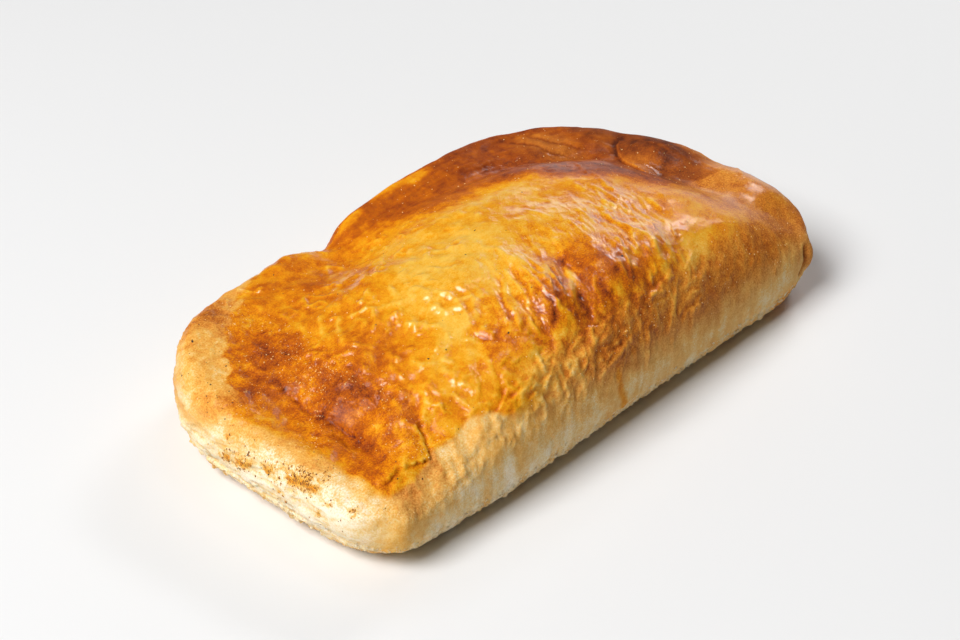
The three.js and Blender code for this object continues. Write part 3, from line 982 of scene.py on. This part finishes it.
def finish_of(name, dark, light, size, roughness, ior):
    """A material whose colour varies between two tones over lumps of the given size in millimetres."""
    material = bpy.data.materials.new(name)
    material.use_nodes = True
    nodes = material.node_tree
    nodes.nodes.clear()
    spot = add(nodes, "ShaderNodeTexCoord").outputs["Object"]
    speckle = add(nodes, "ShaderNodeTexNoise", Vector=spot, Scale=1 / (size * MM), Detail=2)
    blend = add(nodes, "ShaderNodeValToRGB", Fac=speckle.outputs["Fac"])
    for stop, position, colour in zip(blend.color_ramp.elements, (0.35, 0.65), (dark, light)):
        stop.position = position
        stop.color = linear(colour)
    surface = add(nodes, "ShaderNodeBsdfPrincipled", Base_Color=blend.outputs["Color"], Roughness=roughness,
                  IOR=ior)
    add(nodes, "ShaderNodeOutputMaterial", Surface=surface.outputs[0])
    print(name, "from", dark, "to", light)
    return material


# %% [markdown]
# ## Beads of egg wash
#
# The wash also dried as tiny beads, densest on the dark patch and along the end of the wash on the fold. As
# real mesh, each bead catches one bright spark, and its pale colour adds a painted glint.

# %% Scatter the beads
beads = grain_shape("wash_beads", flatness=0.8, roughness=0.1)
clusters = ramp(lumps(9, seed=71), -0.1, 0.5)
bead_chance = wash * (0.15 + 1.7 * patch_zone * clusters + 1.2 * blot(-55, 4, 9, 6, 70, 0.6))
bead_chance += 0.6 * ramp(down_fold, 42, 50) * fall(down_fold, 58, 68) * clusters * fall(y, -35, -25)
scatter(beads, bead_chance, count=4000, sizes=(0.045, 0.22), sink=0.25)
# Dried egg wash: clear, amber and smooth, as it set by itself; its pale tones are in part a painted glint.
bead_wash_and_glint = finish_of("dried_egg_wash_painted_glint", "#dc9c3c", "#f8d994", size=0.8, roughness=0.35, ior=1.5)
beads.data.materials.append(bead_wash_and_glint)

# %% [markdown]
# ## Pepper
#
# A little pepper sticks to the skin: single dark specks on the top and the pale strip, and more among the
# toasted crumbs. The grains are flatter and rougher than the beads.

# %% Scatter the pepper
specks = grain_shape("pepper_specks", flatness=0.6, roughness=0.25)
on_strip = outside * ramp(y, -12, 6) * fall(y, 26, 34) * top
in_band = bell(from_band, 1.8) * fall(x, -76, -70)
pepper_chance = 0.05 * top * fall(x, 0, 30) * (1 - rim) + 0.5 * on_strip + 1.6 * in_band * ramp(y, -14, -8)
scatter(specks, pepper_chance, count=150, sizes=(0.1, 0.32), sink=0.3)
# Ground black pepper: dark, dull and broken.
pepper = finish_of("ground_black_pepper", "#1a120c", "#3a2718", size=0.6, roughness=0.7, ior=1.5)
specks.data.materials.append(pepper)

# %% [markdown]
# ## Crumbs
#
# The near end carries a band of toasted crumbs, and pale ones cling to the foot of the fold and the end,
# where the dough stuck to the tray. The pale ones are larger and break up the lower outline.

# %% Scatter the crumbs
toasts = grain_shape("toasted_crumbs", flatness=0.7, roughness=0.3)
scatter(toasts, toasted * bare_end + 0.004 * bare_end, count=1200, sizes=(0.09, 0.34), sink=0.3)
# Toasted pastry crumbs: dry and rough, orange to brown.
toasted_crumb = finish_of("toasted_pastry_crumb", "#7a3f10", "#d4923e", size=0.8, roughness=0.8, ior=1.45)
toasts.data.materials.append(toasted_crumb)

fringe = grain_shape("base_crumbs", flatness=0.8, roughness=0.3)
at_foot = fall(z, 5, 9) * ramp(z, 1, 5)
fringe_chance = at_foot * (fall(out_y, -0.6, -0.2) + 0.6 * fall(out_x, -0.7, -0.3))
scatter(fringe, fringe_chance, count=3000, sizes=(0.12, 0.6), sink=0.35)
# Flaked dough, hardly baked: pale, dry and matt.
pale_crumb = finish_of("pale_pastry_crumb", "#d9b883", "#f2e3c2", size=0.9, roughness=0.85, ior=1.45)
fringe.data.materials.append(pale_crumb)

# %% [markdown]
# ## Fewer faces
#
# The even grid has more faces than a calm stretch of skin needs. Thinning it by collapsing its least useful
# edges keeps the creases and the painted tones, and brings the mesh to a size that is easy to share. It
# comes after the scattering, which needs the painted numbers at every point.

# %% Thin the crust
KEPT_SHARE = 0.62

apply_modifier(crust, "DECIMATE", ratio=KEPT_SHARE)
crust.data.calc_loop_triangles()
print("crust triangles:", len(crust.data.loop_triangles))

# %% [markdown]
# ## The table
#
# A white table fills the picture. One large plane is enough, because its far edge is never in view.

# %% Set the table
TABLE_WIDTH = 6.0

bpy.ops.object.select_all(action="DESELECT")
bpy.ops.mesh.primitive_plane_add(size=TABLE_WIDTH)
table = bpy.context.active_object
table.name = "table"
# Laminate, pressed smooth: white and nearly matt, so that it shows soft shadows and hardly a reflection.
table_white = bpy.data.materials.new("white_laminate")
table_white.use_nodes = True
table_finish = table_white.node_tree.nodes["Principled BSDF"].inputs
table_finish["Base Color"].default_value = linear("#ebebeb")
table_finish["Roughness"].default_value = 0.6
table.data.materials.append(table_white)
print("table:", TABLE_WIDTH, "m wide")

# %% [markdown]
# ## The light
#
# The key is a softbox high on the left, which makes the sealed end almost white and leaves the folded side
# in shade. The white room fills in. A small box behind on the right draws the bright streaks in the egg
# wash, an even smaller one above adds sparks, and a wide backdrop gives the far slopes their soft sheen.

# %% Light the table
ROOM_STRENGTH = 0.045


def softbox(name, towards, distance, size, power):
    """A rectangular area light that faces the middle of the pastry."""
    direction = Vector(towards).normalized()
    aim = (-direction).to_track_quat("-Z", "Y").to_euler()
    bpy.ops.object.light_add(type="AREA", location=direction * distance, rotation=aim)
    lamp = bpy.context.active_object
    lamp.name = name
    lamp.data.shape = "RECTANGLE"
    lamp.data.size, lamp.data.size_y = size
    lamp.data.energy = power
    print(name, power, "W")


softbox("key_left", towards=(-0.62, 0.08, 0.78), distance=1.5, size=(0.8, 0.8), power=27.2)
softbox("streaks_back_right", towards=(0.795, 0.198, 0.574), distance=0.9, size=(0.3, 0.11), power=1.5)
softbox("sparks_above", towards=(0.33, 0.06, 0.94), distance=1.0, size=(0.15, 0.15), power=0.4)
softbox("backdrop", towards=(0.9, 0.4, 0.15), distance=1.3, size=(1.0, 0.5), power=2.4)
world = bpy.data.worlds.new("white_room")
world.use_nodes = True
room = world.node_tree.nodes["Background"].inputs
room["Color"].default_value = (1, 1, 1, 1)
room["Strength"].default_value = ROOM_STRENGTH
bpy.context.scene.world = world
bpy.context.scene.view_settings.view_transform = "Standard"
